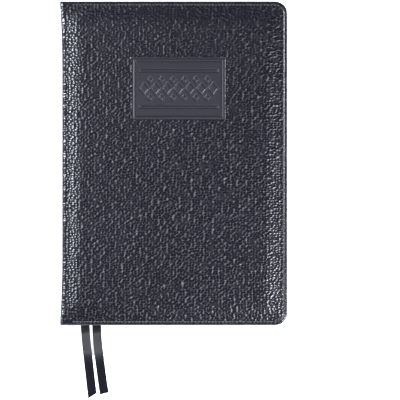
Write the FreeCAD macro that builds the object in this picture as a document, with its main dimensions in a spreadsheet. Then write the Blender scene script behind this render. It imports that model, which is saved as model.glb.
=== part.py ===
"""A padded hardcover book with blackened page edges, two ribbon markers and a blind-tooled panel.

The book lies closed on its back cover. +X runs from the spine to the fore-edge, +Y from the tail to the head
and +Z from the back cover to the front cover. The origin is the middle of the back cover's outer face.
Lengths are millimetres. Every driving size is a cell of the spreadsheet Sizes; the names in DERIVED are
expressions over those cells.
"""

import FreeCAD, Part  # noqa: E401  this order is needed
import math
import os
import re

import Sketcher

V = FreeCAD.Vector
FLIP = FreeCAD.Rotation(V(1, 0, 0), 180)  # turns a front piece into the back one
LEVEL = FreeCAD.Rotation()

SIZES = {
    # the text block
    "page_width": 145.0,
    "page_height": 209.0,
    "page_corner": 5.0,
    "section_thickness": 1.23,
    "section_clearance": 0.02,
    "endpaper": 0.15,
    # the case
    "square": 3.0,
    "leather": 0.7,
    "padding": 1.2,
    "board": 2.0,
    "cover_corner": 8.0,
    "rim_round": 1.3,
    "shoulder_round": 2.2,
    "padding_inset": 3.4,
    "padding_slope": 6.0,
    "board_setback": 6.0,
    "turn_in_width": 15.0,
    "turn_in_depth": 0.4,
    "endpaper_margin": 3.5,
    "cover_clearance": 0.1,
    # the spine
    "spine_card": 0.8,
    "spine_turn_in_depth": 0.3,
    "lining_paper": 0.1,
    "mull": 0.15,
    "tape": 0.25,
    "tape_width": 12.0,
    "tape_spacing": 46.0,
    "tape_count": 4,
    "mull_margin": 10.0,
    "kettle_inset": 12.0,
    "thread_radius": 0.1,
    "band_radius": 0.9,
    "band_flange": 8.0,
    "band_clearance": 0.05,
    "band_end_gap": 0.5,
    # stitching round the boards
    "stitch_inset": 2.4,
    "stitch_pitch": 2.3,
    "stitch_length": 1.8,
    "stitch_width": 0.5,
    "stitch_height": 0.4,
    "groove_width": 0.8,
    "groove_depth": 0.45,
    # the tooled panel
    "panel_width": 61.5,
    "panel_height": 41.0,
    "panel_from_spine": 78.0,
    "panel_from_head": 58.0,
    "panel_depth": 0.25,
    "fillet_inset": 2.0,
    "fillet_width": 0.9,
    "fillet_depth": 0.45,
    "lozenge_width": 6.4,
    "lozenge_height": 8.4,
    "lozenge_pitch": 7.6,
    "lozenge_count": 7,
    "small_lozenge_width": 3.6,
    "small_lozenge_height": 4.6,
    "small_lozenge_offset": 5.9,
    "rule_length": 52.0,
    "rule_width": 1.6,
    "rule_offset": 12.0,
    "ornament_height": 0.14,
    # the ribbon markers
    "ribbon_width": 6.0,
    "ribbon_thickness": 0.18,
    "ribbon_slot": 0.5,
    "ribbon_clearance": 0.05,
}

DERIVED = {
    "cover_width": "spine_wall + page_width + square",
    "cover_height": "page_height + 2 * square",
    "cover_thickness": "leather + padding + board",
    "spine_wall": "leather + spine_card + lining",
    "lining": "lining_paper + mull + tape",
    "spine_outer": "-cover_width / 2",
    "page_edge": "spine_outer + spine_wall",
    "block_bottom": "cover_thickness + endpaper + cover_clearance",
    "section_pitch": "section_thickness + section_clearance",
    "half_block": "endpaper + section_clearance + half_sections * section_pitch",
    "slot_bottom": "block_bottom + half_block",
    "block_thickness": "2 * half_block + ribbon_slot",
    "block_top": "block_bottom + block_thickness",
    "total_thickness": "block_top + block_bottom",
    "front_inner": "block_top + cover_clearance + endpaper",
    "board_width": "cover_width - board_setback - leather",
    "board_height": "cover_height - 2 * leather",
    "board_corner": "cover_corner - leather",
    "rim_thickness": "board + leather",
    "padding_height": "cover_height - 2 * padding_inset",
    "padding_corner": "cover_corner - padding_inset",
    "spine_height": "block_thickness",
    "endpaper_start": "spine_wall",
    "panel_centre_y": "cover_height / 2 - panel_from_head",
    "lozenge_span": "lozenge_pitch * (lozenge_count - 1)",
    "small_lozenge_span": "lozenge_span - lozenge_pitch",
}

SECTIONS = 12
HALF_SECTIONS = SECTIONS // 2
HEAD, TAIL = 1, -1

# The middle line of each ribbon, from the head to its cut end: x from the spine's outer face, y from the
# middle of the book, and height above the table. The height None is the ribbon's own level in the block.
RIBBONS = {
    "ribbon_left": {
        "layer": 0,
        "cut": -3.0,
        "route": [
            (5.3, 104.2, None),
            (8.6, 49.0, None),
            (11.2, -6.0, None),
            (13.9, -55.0, None),
            (15.2, -88.0, None),
            (15.6, -109.5, None),
            (16.1, -119.0, 6.4),
            (17.1, -130.0, 0.0),
            (18.6, -143.0, 0.0),
            (20.0, -155.5, 0.0),
        ],
    },
    "ribbon_right": {
        "layer": 1,
        "cut": -0.6,
        "route": [
            (5.3, 104.2, None),
            (11.4, 50.0, None),
            (17.0, -4.0, None),
            (21.0, -54.0, None),
            (22.8, -88.0, None),
            (23.2, -109.8, None),
            (23.6, -119.5, 6.0),
            (24.8, -131.0, 0.0),
            (26.4, -143.5, 0.0),
            (28.0, -154.0, 0.0),
        ],
    },
}

doc = FreeCAD.newDocument("book")
sheet = doc.addObject("Spreadsheet::Sheet", "Sizes")
kept = []  # the objects that are written, one file each


# ---------------------------------------------------------------- sizes and expressions


def fill_sheet():
    """Writes each size as a plain number with its alias."""
    rows = dict(SIZES, half_sections=HALF_SECTIONS)
    for row, (alias, number) in enumerate(rows.items(), 1):
        sheet.set(f"A{row}", alias)
        sheet.set(f"B{row}", str(number))
        sheet.setAlias(f"B{row}", alias)
    doc.recompute()


def expression(text):
    """The text with each name turned into its cell, and each derived name into its own expression."""

    def swap(match):
        word = match.group(0)
        if word in DERIVED:
            return "(" + expression(DERIVED[word]) + ")"
        return "Sizes." + word

    return re.sub(r"[a-z][a-z_]*[a-z]", swap, text)


def size(text):
    """The number that an expression over the sizes gives."""
    return float(sheet.evalExpression(expression(text)))


def bind(thing, **places):
    """Binds properties of an object to expressions; Base_x stands for Placement.Base.x."""
    for key, text in places.items():
        path = key.replace("Base_", "Placement.Base.")
        thing.setExpression(path, expression(text))


def keep(thing, label):
    """Marks an object as a sub-part with that name."""
    thing.Label = label
    kept.append(thing)
    return thing


# ---------------------------------------------------------------- PartDesign helpers


def new_body(name):
    return doc.addObject("PartDesign::Body", name)


def flat_sketch(body, name, height="0", shift="0"):
    """A sketch in the body's XY plane, lifted to a height and shifted along X."""
    plane = next(o for o in body.Origin.OriginFeatures if o.Role == "XY_Plane")
    sketch = body.newObject("Sketcher::SketchObject", name)
    sketch.AttachmentSupport = [(plane, "")]
    sketch.MapMode = "FlatFace"
    if height != "0":
        sketch.setExpression("AttachmentOffset.Base.z", expression(height))
    if shift != "0":
        sketch.setExpression("AttachmentOffset.Base.x", expression(shift))
    return sketch


def sized(sketch, kind, *arguments, name, text):
    """Adds a dimension to a sketch and binds it to an expression."""
    index = sketch.addConstraint(Sketcher.Constraint(kind, *arguments, size(text)))
    sketch.renameConstraint(index, name)
    sketch.setExpression("Constraints." + name, expression(text))


def leaf_outline(sketch, width, height, corner):
    """A leaf's outline: square at the spine, on the Y axis, and with round corners at the fore-edge."""
    w, half, r = size(width), size(height) / 2, size(corner)
    line = Part.LineSegment
    quarter = math.pi / 2
    tail, fore, head, spine = sketch.addGeometry(
        [
            line(V(0, -half, 0), V(w - r, -half, 0)),
            line(V(w, -half + r, 0), V(w, half - r, 0)),
            line(V(w - r, half, 0), V(0, half, 0)),
            line(V(0, half, 0), V(0, -half, 0)),
        ]
    )
    low, high = sketch.addGeometry(
        [
            Part.ArcOfCircle(Part.Circle(V(w - r, -half + r, 0), V(0, 0, 1), r), -quarter, 0),
            Part.ArcOfCircle(Part.Circle(V(w - r, half - r, 0), V(0, 0, 1), r), 0, quarter),
        ]
    )
    joined = Sketcher.Constraint
    sketch.addConstraint(
        [
            joined("Tangent", tail, 2, low, 1),
            joined("Tangent", low, 2, fore, 1),
            joined("Tangent", fore, 2, high, 1),
            joined("Tangent", high, 2, head, 1),
            joined("Coincident", head, 2, spine, 1),
            joined("Coincident", spine, 2, tail, 1),
            joined("Horizontal", tail),
            joined("Horizontal", head),
            joined("Vertical", fore),
            joined("PointOnObject", spine, 1, -2),
            joined("Symmetric", spine, 1, spine, 2, -1),
            joined("Equal", low, high),
        ]
    )
    sized(sketch, "DistanceY", tail, 1, head, 2, name="height", text=height)
    sized(sketch, "DistanceX", tail, 1, fore, 1, name="width", text=width)
    sized(sketch, "Radius", low, name="corner", text=corner)


def box_outline(sketch, name, centre_x, centre_y, width, height):
    """A rectangle about a centre."""
    cx, cy, w, h = (size(text) for text in (centre_x, centre_y, width, height))
    corners = [
        V(cx + sx * w / 2, cy + sy * h / 2, 0) for sx, sy in ((-1, -1), (1, -1), (1, 1), (-1, 1))
    ]
    sides = sketch.addGeometry(
        [Part.LineSegment(corners[i], corners[(i + 1) % 4]) for i in range(4)]
    )
    centre = sketch.addGeometry(Part.Point(V(cx, cy, 0)), True)
    joined = Sketcher.Constraint
    sketch.addConstraint(
        [joined("Coincident", sides[i], 2, sides[(i + 1) % 4], 1) for i in range(4)]
        + [joined("Horizontal", sides[0]), joined("Horizontal", sides[2])]
        + [joined("Vertical", sides[1]), joined("Vertical", sides[3])]
        + [joined("Symmetric", sides[0], 1, sides[1], 2, centre, 1)]
    )
    sized(sketch, "DistanceX", sides[0], 1, sides[0], 2, name=name + "_width", text=width)
    sized(sketch, "DistanceY", sides[1], 1, sides[1], 2, name=name + "_height", text=height)
    sized(sketch, "DistanceX", -1, 1, centre, 1, name=name + "_x", text=centre_x)
    sized(sketch, "DistanceY", -1, 1, centre, 1, name=name + "_y", text=centre_y)


def lozenge_outline(sketch, name, centre_x, centre_y, width, height):
    """A lozenge with its points on the two axes through its centre."""
    cx, cy, w, h = (size(text) for text in (centre_x, centre_y, width, height))
    points = [V(cx - w / 2, cy, 0), V(cx, cy - h / 2, 0), V(cx + w / 2, cy, 0), V(cx, cy + h / 2, 0)]
    sides = sketch.addGeometry(
        [Part.LineSegment(points[i], points[(i + 1) % 4]) for i in range(4)]
    )
    centre = sketch.addGeometry(Part.Point(V(cx, cy, 0)), True)
    joined = Sketcher.Constraint
    sketch.addConstraint(
        [joined("Coincident", sides[i], 2, sides[(i + 1) % 4], 1) for i in range(4)]
        + [joined("Symmetric", sides[0], 1, sides[2], 1, centre, 1)]
        + [joined("Symmetric", sides[1], 1, sides[3], 1, centre, 1)]
        + [joined("Horizontal", sides[0], 1, sides[2], 1)]
        + [joined("Vertical", sides[1], 1, sides[3], 1)]
    )
    sized(sketch, "DistanceX", sides[0], 1, sides[2], 1, name=name + "_width", text=width)
    sized(sketch, "DistanceY", sides[1], 1, sides[3], 1, name=name + "_height", text=height)
    sized(sketch, "DistanceX", -1, 1, centre, 1, name=name + "_x", text=centre_x)
    sized(sketch, "DistanceY", -1, 1, centre, 1, name=name + "_y", text=centre_y)


def pad(body, sketch, name, length):
    feature = body.newObject("PartDesign::Pad", name)
    feature.Profile = sketch
    feature.setExpression("Length", expression(length))
    body.Tip = feature
    return feature


def pocket(body, sketch, name, depth):
    """Cuts downwards from the sketch, and makes sure that it did."""
    doc.recompute()
    before = body.Shape.Volume
    feature = body.newObject("PartDesign::Pocket", name)
    feature.Profile = sketch
    feature.setExpression("Length", expression(depth))
    body.Tip = feature
    doc.recompute()
    if body.Shape.Volume >= before:
        raise RuntimeError(name + " cuts nothing")
    return feature


def round_top_edges(body, name, radius, chosen):
    """Fillets the edges of the top face that a test picks."""
    doc.recompute()
    base = body.Tip
    top = base.Shape.BoundBox.ZMax
    names = [
        f"Edge{i}"
        for i, edge in enumerate(base.Shape.Edges, 1)
        if abs(edge.BoundBox.ZMin - top) < 1e-6 and abs(edge.BoundBox.ZMax - top) < 1e-6
        if chosen(edge)
    ]
    feature = body.newObject("PartDesign::Fillet", name)
    feature.Base = (base, names)
    feature.setExpression("Radius", expression(radius))
    body.Tip = feature
    doc.recompute()


def stand(thing, x, z, flipped=False):
    """Places a piece whose own frame has the spine side at x 0 and its inner face at z 0."""
    thing.Placement = FreeCAD.Placement(V(0, 0, 0), FLIP if flipped else LEVEL)
    bind(thing, Base_x=x, Base_z=z)
    return thing


# ---------------------------------------------------------------- leaves


def build_leaf(label, thickness, bottom, width="page_width", height="page_height", start="page_edge"):
    """One leaf, or one sewn section of leaves, lying flat."""
    body = new_body(label)
    sketch = flat_sketch(body, label + "_outline")
    leaf_outline(sketch, width, height, "page_corner")
    pad(body, sketch, label + "_pad", thickness)
    stand(body, start, bottom)
    return keep(body, label)


def build_text_block():
    """The two flyleaves and twelve sections, with the ribbons' slot in the middle of the stack."""
    build_leaf("back_flyleaf", "endpaper", "block_bottom")
    first = "block_bottom + endpaper + section_clearance"
    for place in range(SECTIONS):
        bottom = f"{first} + {place} * section_pitch"
        if place >= HALF_SECTIONS:
            bottom += " + ribbon_slot"
        build_leaf(f"section_{SECTIONS - place:02d}", "section_thickness", bottom)
    build_leaf("front_flyleaf", "endpaper", "block_top - endpaper")


# ---------------------------------------------------------------- covers


def board_body(side):
    """The board, with its inner face rebated for the turned-in leather on three sides."""
    body = new_body(side + "_board")
    sketch = flat_sketch(body, side + "_board_outline", "turn_in_depth")
    leaf_outline(sketch, "board_width", "board_height", "board_corner")
    pad(body, sketch, side + "_board_pad", "board - turn_in_depth")
    window = flat_sketch(body, side + "_board_window")
    margin = "(turn_in_width - leather)"
    leaf_outline(
        window, f"board_width - {margin}", f"board_height - 2 * {margin}", "page_corner"
    )
    pad(body, window, side + "_board_field", "turn_in_depth")
    return body


def add_cushion(body, name, low, high):
    """A slab whose four sides slope inwards from its foot to its crown, as padding does."""
    outlines = []
    for part, level, inset in (
        ("foot", low, "padding_inset"),
        ("crown", high, "(padding_inset + padding_slope)"),
    ):
        sketch = flat_sketch(body, f"{name}_{part}", level, inset)
        leaf_outline(
            sketch, f"cover_width - 2 * {inset}", f"cover_height - 2 * {inset}", "padding_corner"
        )
        outlines.append(sketch)
    doc.recompute()
    feature = body.newObject("PartDesign::AdditiveLoft", name)
    feature.Profile = outlines[0]
    feature.Sections = [outlines[1]]
    feature.Ruled = True
    body.Tip = feature
    doc.recompute()


def padding_body(side):
    """The foam: over the board, and down in front of its spine edge."""
    body = new_body(side + "_padding")
    add_cushion(body, side + "_padding_slab", "board", "board + padding")
    filler = flat_sketch(body, side + "_padding_filler")
    box_outline(
        filler,
        "filler",
        "(board_setback + leather) / 2",
        "0 * leather",
        "board_setback - leather",
        "padding_height",
    )
    pad(body, filler, side + "_padding_joint", "board")
    return body


def cover_body(side):
    """The outer form of a padded cover, before the board and the foam are taken out of it.

    A flat rim of leather on board runs all round, and the padding stands above it."""
    body = new_body(side + "_form")
    sketch = flat_sketch(body, side + "_form_outline")
    leaf_outline(sketch, "cover_width", "cover_height", "cover_corner")
    pad(body, sketch, side + "_form_pad", "rim_thickness")
    doc.recompute()

    def at_spine(edge):
        return edge.BoundBox.XMax < 1e-6

    round_top_edges(body, side + "_shoulder", "shoulder_round", at_spine)
    inside = size("cover_width") - size("cover_corner") - 1
    near_spine = size("shoulder_round")

    def at_rim(edge):
        box = edge.BoundBox
        reaches_rim = box.XMax > inside or abs(box.YMax) > size("cover_height") / 2 - 1
        return reaches_rim and (box.XMax > near_spine + 1)

    round_top_edges(body, side + "_rim", "rim_round", at_rim)
    add_cushion(body, side + "_cushion", "rim_thickness", "cover_thickness")
    return body


def tool_panel(body):
    """The blind-tooled panel: a sunk field with a fillet line round it, lozenges and two rules raised from it."""
    sunk = flat_sketch(body, "panel_outline", "cover_thickness")
    box_outline(
        sunk, "panel", "panel_from_spine", "panel_centre_y", "panel_width", "panel_height"
    )
    pocket(body, sunk, "panel_field", "panel_depth")
    line = flat_sketch(body, "panel_line", "cover_thickness")
    for name, inset in (("outer", "fillet_inset"), ("inner", "(fillet_inset + fillet_width)")):
        box_outline(
            line,
            name,
            "panel_from_spine",
            "panel_centre_y",
            f"panel_width - 2 * {inset}",
            f"panel_height - 2 * {inset}",
        )
    pocket(body, line, "panel_fillet_line", "fillet_depth")
    floor = "cover_thickness - panel_depth"
    rules = flat_sketch(body, "panel_rules", floor)
    for name, sign in (("upper", "+"), ("lower", "-")):
        box_outline(
            rules,
            name,
            "panel_from_spine",
            f"panel_centre_y {sign} rule_offset",
            "rule_length",
            "rule_width",
        )
    pad(body, rules, "panel_rule_pad", "ornament_height")
    lozenge = flat_sketch(body, "panel_lozenge", floor)
    lozenge_outline(
        lozenge,
        "large",
        "panel_from_spine - lozenge_span / 2",
        "panel_centre_y",
        "lozenge_width",
        "lozenge_height",
    )
    repeat_along(body, lozenge, "panel_lozenges", "lozenge_span", "lozenge_count")
    small = flat_sketch(body, "panel_small_lozenge", floor)
    for name, sign in (("upper", "+"), ("lower", "-")):
        lozenge_outline(
            small,
            name,
            "panel_from_spine - small_lozenge_span / 2",
            f"panel_centre_y {sign} small_lozenge_offset",
            "small_lozenge_width",
            "small_lozenge_height",
        )
    repeat_along(body, small, "panel_small_lozenges", "small_lozenge_span", "lozenge_count - 1")


def repeat_along(body, sketch, name, span, count):
    """Raises the sketch's ornament from the panel's floor, and repeats it along the panel."""
    first = pad(body, sketch, name + "_pad", "ornament_height")
    doc.recompute()
    row = body.newObject("PartDesign::LinearPattern", name)
    row.Originals = [first]
    row.Direction = (sketch, ["H_Axis"])
    row.setExpression("Length", expression(span))
    row.setExpression("Occurrences", expression(count))
    body.Tip = row
    doc.recompute()


def leaf_prism(start, width, height, corner, bottom, thickness):
    """A prism over a leaf's outline, in numbers, with its spine side at x start."""
    half, end = height / 2, start + width
    diagonal = corner * math.sqrt(0.5)
    low, high = V(end - corner, corner - half, 0), V(end - corner, half - corner, 0)
    line, arc = Part.LineSegment, Part.Arc
    points = [V(start, -half, 0), V(end - corner, -half, 0), V(end, corner - half, 0)]
    points += [V(end, half - corner, 0), V(end - corner, half, 0), V(start, half, 0)]
    edges = [
        line(points[0], points[1]),
        arc(points[1], low + V(diagonal, -diagonal, 0), points[2]),
        line(points[2], points[3]),
        arc(points[3], high + V(diagonal, diagonal, 0), points[4]),
        line(points[4], points[5]),
        line(points[5], points[0]),
    ]
    face = Part.Face(Part.Wire([edge.toShape() for edge in edges]))
    face.translate(V(0, 0, bottom))
    return face.extrude(V(0, 0, thickness))


def stitch_start():
    """Where the stitch line begins, clear of the round shoulder."""
    return size("board_setback") + size("stitch_pitch")


def build_groove(side):
    """The line that the stitches lie in, sunk in the cover's outer face on three sides."""
    deep, top = size("groove_depth"), size("rim_thickness")
    start = stitch_start() - size("stitch_pitch") / 2
    prisms = []
    for outwards, left in ((0.5, start), (-0.5, start - 1)):
        inset = size("stitch_inset") - outwards * size("groove_width")
        width = size("cover_width") - inset - left
        height = size("cover_height") - 2 * inset
        corner = size("cover_corner") - inset
        prisms.append(leaf_prism(left, width, height, corner, top - deep, deep + 1))
    groove = doc.addObject("Part::Feature", side + "_groove")
    groove.Shape = prisms[0].cut(prisms[1])
    return groove


def stitch_path():
    """The stitch line of a cover, as a wire in the cover's own frame."""
    inset, corner = size("stitch_inset"), size("cover_corner")
    half = size("cover_height") / 2 - inset
    end, r = size("cover_width") - inset, corner - inset
    start, diagonal = stitch_start(), r * math.sqrt(0.5)
    line, arc = Part.LineSegment, Part.Arc
    edges = [
        line(V(start, -half, 0), V(end - r, -half, 0)),
        arc(
            V(end - r, -half, 0),
            V(end - r + diagonal, -half + r - diagonal, 0),
            V(end, -half + r, 0),
        ),
        line(V(end, -half + r, 0), V(end, half - r, 0)),
        arc(V(end, half - r, 0), V(end - r + diagonal, half - r + diagonal, 0), V(end - r, half, 0)),
        line(V(end - r, half, 0), V(start, half, 0)),
    ]
    return Part.Wire([edge.toShape() for edge in edges])


def build_stitches(side):
    """The stitches: short bars, evenly spaced along the stitch line, as separate solids."""
    path = stitch_path()
    count = round(path.Length / size("stitch_pitch")) + 1
    floor = size("rim_thickness") - size("groove_depth")
    long, wide, high = size("stitch_length"), size("stitch_width"), size("stitch_height")
    places = path.discretize(Number=count)
    bars = []
    for i, place in enumerate(places):
        before, after = places[max(i - 1, 0)], places[min(i + 1, count - 1)]
        turn = math.degrees(math.atan2(after.y - before.y, after.x - before.x))
        bar = Part.makeBox(long, wide, high, V(-long / 2, -wide / 2, 0))
        bar.Placement = FreeCAD.Placement(
            place + V(0, 0, floor), FreeCAD.Rotation(V(0, 0, 1), turn)
        )
        bars.append(bar)
    stitches = doc.addObject("Part::Feature", side + "_stitches")
    stitches.Shape = Part.makeCompound(bars)
    return stitches


def build_cover(side):
    """One padded cover: board, foam, leather, stitching and pastedown."""
    flipped = side == "back"
    inner = "cover_thickness" if flipped else "front_inner"
    board = keep(board_body(side), side + "_board")
    foam = padding_body(side)
    form = cover_body(side)
    if not flipped:
        tool_panel(form)
    stand(board, "spine_outer + board_setback", inner, flipped)
    stand(foam, "spine_outer", inner, flipped)
    stand(form, "spine_outer", inner, flipped)
    groove = stand(build_groove(side), "spine_outer", inner, flipped)
    stitches = stand(build_stitches(side), "spine_outer", inner, flipped)
    keep(foam, side + "_padding")
    keep(stitches, side + "_stitching")
    taken = doc.addObject("Part::MultiFuse", side + "_taken")
    taken.Shapes = [board, foam, groove]
    skin = doc.addObject("Part::Cut", side + "_skin")
    skin.Base = form
    skin.Tool = taken
    keep(skin, side + "_leather")
    lowest = "cover_thickness + endpaper" if flipped else "front_inner - endpaper"
    paste = new_body(side + "_paste")
    sketch = flat_sketch(paste, side + "_paste_outline")
    width = "cover_width - endpaper_start - endpaper_margin"
    leaf_outline(sketch, width, "cover_height - 2 * endpaper_margin", "page_corner")
    pad(paste, sketch, side + "_paste_pad", "endpaper")
    stand(paste, "page_edge", lowest, flipped)
    keep(paste, side + "_pastedown")


# ---------------------------------------------------------------- spine


def build_box(label, x, y, z, length, width, height):
    """A Part box between the given low corner and sizes, all of them expressions."""
    box = doc.addObject("Part::Box", label)
    bind(box, Length=length, Width=width, Height=height, Base_x=x, Base_y=y, Base_z=z)
    return box


def build_spine_case():
    """The card that stiffens the spine, and its leather, turned in over the card at head and tail."""
    card_height = "cover_height - 2 * leather"
    inside = "spine_outer + leather"
    core = build_box(
        "card_core",
        inside,
        f"-({card_height}) / 2",
        "block_bottom",
        "spine_card - spine_turn_in_depth",
        card_height,
        "spine_height",
    )
    window = "cover_height - 2 * turn_in_width"
    field = build_box(
        "card_field",
        f"{inside} + spine_card - spine_turn_in_depth",
        f"-({window}) / 2",
        "block_bottom",
        "spine_turn_in_depth",
        window,
        "spine_height",
    )
    card = doc.addObject("Part::Fuse", "card")
    card.Base, card.Tool = core, field
    keep(card, "spine_card")
    form = build_box(
        "spine_form",
        "spine_outer",
        "-cover_height / 2",
        "block_bottom",
        "leather + spine_card",
        "cover_height",
        "spine_height",
    )
    skin = doc.addObject("Part::Cut", "spine_skin")
    skin.Base, skin.Tool = form, card
    keep(skin, "spine_leather")


def build_spine_lining():
    """The layers glued to the folds: tapes, mull and lining paper, from the pages outwards."""
    case = "spine_outer + leather + spine_card"
    length = "page_height - 2 * mull_margin"
    for label, x, thickness in (
        ("spine_lining", case, "lining_paper"),
        ("mull", f"{case} + lining_paper", "mull"),
    ):
        strip = build_box(
            label + "_strip", x, f"-({length}) / 2", "block_bottom", thickness, length, "spine_height"
        )
        keep(strip, label)
    spacing, wide = size("tape_spacing"), size("tape_width")
    count = int(size("tape_count"))
    tapes = []
    for i in range(count):
        middle = (i - (count - 1) / 2) * spacing
        tapes.append(
            Part.makeBox(size("tape"), wide, size("spine_height"), V(0, middle - wide / 2, 0))
        )
    node = doc.addObject("Part::Feature", "tapes")
    node.Shape = Part.makeCompound(tapes)
    bind(node, Base_x="page_edge - tape", Base_z="block_bottom")
    keep(node, "sewing_tapes")


def build_sewing_thread():
    """The rows of sewing thread on the folds: a kettle stitch near each end, and one row each side of a tape."""
    beside = size("tape_width") / 2 + 4 * size("thread_radius")
    count = int(size("tape_count"))
    stations = [end * (size("page_height") / 2 - size("kettle_inset")) for end in (TAIL, HEAD)]
    for i in range(count):
        middle = (i - (count - 1) / 2) * size("tape_spacing")
        stations += [middle - beside, middle + beside]
    radius = size("thread_radius")
    low, gap = size("block_bottom"), size("band_end_gap")
    rows = [
        Part.makeCylinder(radius, size("block_thickness") - 2 * gap, V(0, y, low + gap))
        for y in sorted(stations)
    ]
    node = doc.addObject("Part::Feature", "thread")
    node.Shape = Part.makeCompound(rows)
    bind(node, Base_x="page_edge - tape / 2")
    keep(node, "sewing_thread")


def build_band(label, end):
    """A head or tail band: a round bead on the edge of the pages, with a flange glued down the folds."""
    bead = doc.addObject("Part::Cylinder", label + "_bead")
    tall = "block_thickness - 2 * band_end_gap"
    beyond = "page_height / 2 + band_clearance + band_radius"
    x = "page_edge - tape + band_radius"
    y = beyond if end == HEAD else f"-({beyond})"
    bind(bead, Radius="band_radius", Height=tall, Base_x=x, Base_y=y)
    bind(bead, Base_z="block_bottom + band_end_gap")
    low = "page_height / 2 - band_flange" if end == HEAD else f"-({beyond})"
    flange = build_box(
        label + "_flange",
        "page_edge - tape",
        low,
        "block_bottom + band_end_gap",
        "tape",
        "band_flange + band_clearance + band_radius",
        tall,
    )
    band = doc.addObject("Part::Fuse", label)
    band.Base, band.Tool = bead, flange
    keep(band, label)


# ---------------------------------------------------------------- ribbons


def rounded_path(points, room=0.45):
    """Straight runs joined by tangent arcs, each as large as its two runs allow. Also gives the radii."""
    edges, radii = [], []
    start = points[0]
    for before, corner, after in zip(points, points[1:], points[2:]):
        inwards, onwards = (corner - before).normalize(), (after - corner).normalize()
        turn = inwards.getAngle(onwards)
        if turn < 1e-6:
            continue
        reach = room * min((corner - before).Length, (after - corner).Length)
        radius = reach / math.tan(turn / 2)
        first, last = corner - inwards * reach, corner + onwards * reach
        to_centre = (onwards - inwards).normalize()
        middle = corner + to_centre * (radius / math.cos(turn / 2) - radius)
        edges.append(Part.LineSegment(start, first).toShape())
        edges.append(Part.Arc(first, middle, last).toShape())
        start = last
        radii.append(radius)
    edges.append(Part.LineSegment(start, points[-1]).toShape())
    return Part.Wire(edges), radii


def band_face(points, half):
    """The face between two offsets of a rounded path that lies in the XY plane."""
    path, radii = rounded_path(points)
    left = path.makeOffset2D(half, 0, False, True)
    right = path.makeOffset2D(-half, 0, False, True)
    ends = [
        Part.LineSegment(a.Point, b.Point).toShape()
        for a, b in zip(
            (left.OrderedVertexes[0], left.OrderedVertexes[-1]),
            (right.OrderedVertexes[0], right.OrderedVertexes[-1]),
        )
    ]
    outline = Part.Wire(Part.__sortEdges__(left.Edges + ends + right.Edges))
    return Part.Face(outline), path.Length, radii


def build_ribbon(label, layer, cut, route):
    """A flat ribbon: the band that its route makes in plan, cut to the band that it makes from the side."""
    thick, wide = size("ribbon_thickness"), size("ribbon_width")
    level = size("slot_bottom") + size("ribbon_clearance") * (layer + 1) + thick * (layer + 0.5)
    on_table = thick / 2
    spine = size("spine_outer")
    points = [
        V(spine + x, y, level if z is None else z + on_table) for x, y, z in route
    ]
    plan, _, _ = band_face([V(p.x, p.y, 0) for p in points], wide / 2)
    side, long, radii = band_face([V(p.y, p.z, 0) for p in thinned(points)], thick / 2)
    side.rotate(V(0, 0, 0), V(1, 0, 0), 90)
    side.rotate(V(0, 0, 0), V(0, 0, 1), 90)
    reach = wide * 2
    span = (min(p.x for p in points) - reach, max(p.x for p in points) + reach)
    side.translate(V(span[0], 0, 0))
    solid = plan.extrude(V(0, 0, level + 1)).common(side.extrude(V(span[1] - span[0], 0, 0)))
    end = points[-1]
    notch = Part.Face(
        Part.makePolygon(
            [
                end + V(-wide, -1, 0),
                end + V(wide, -1, 0),
                end + V(wide, 0.3 - cut, 0),
                end + V(-wide, 0.3 + cut, 0),
                end + V(-wide, -1, 0),
            ]
        )
    )
    notch.translate(V(0, 0, -thick))
    node = doc.addObject("Part::Feature", label + "_strip")
    node.Shape = solid.cut(notch.extrude(V(0, 0, 2 * thick)))
    expected = wide * thick * long
    print(f"{label}: {long:.1f} mm long, volume {node.Shape.Volume:.1f} of {expected:.1f} mm3")
    print(f"  bend radii {[round(r, 1) for r in radii]}")
    keep(node, label)


def thinned(points):
    """The points whose height isn't that of both their neighbours, so that each corner is a real one."""
    last = len(points) - 1
    return [
        p
        for i, p in enumerate(points)
        if i in (0, last) or p.z != points[i - 1].z or p.z != points[i + 1].z
    ]


# ---------------------------------------------------------------- the whole book


def check():
    """Stops on any failed object, and on any sub-part that isn't whole."""
    for thing in doc.Objects:
        if {"Invalid", "Error"} & set(thing.State):
            raise RuntimeError(f"{thing.Name} is {thing.State}")
    for thing in kept:
        shape = thing.Shape
        if shape.isNull() or not shape.isValid() or not shape.Solids:
            raise RuntimeError(f"{thing.Label} isn't a valid solid")


def write():
    os.makedirs("parts", exist_ok=True)
    for old in os.listdir("parts"):
        os.remove(os.path.join("parts", old))
    for thing in kept:
        thing.Shape.exportStep(os.path.join("parts", thing.Label + ".step"))


def main():
    fill_sheet()
    build_text_block()
    build_cover("back")
    build_cover("front")
    build_spine_case()
    build_spine_lining()
    build_sewing_thread()
    build_band("head_band", HEAD)
    build_band("tail_band", TAIL)
    for label, ribbon in RIBBONS.items():
        build_ribbon(label, ribbon["layer"], ribbon["cut"], ribbon["route"])
    doc.recompute()
    check()
    write()
    print(f"{len(kept)} sub-parts, {size('total_thickness'):.2f} mm thick")


main()
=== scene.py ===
"""The looks of a padded book: black pebbled leather, blackened page edges and two satin ribbons.

The pieces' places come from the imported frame's boxes. The sizes below are in millimetres, as are the
functions that shape a piece, and MM turns them into metres.
"""

import math
import random

import bmesh
import bpy
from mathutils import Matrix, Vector, noise


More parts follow.
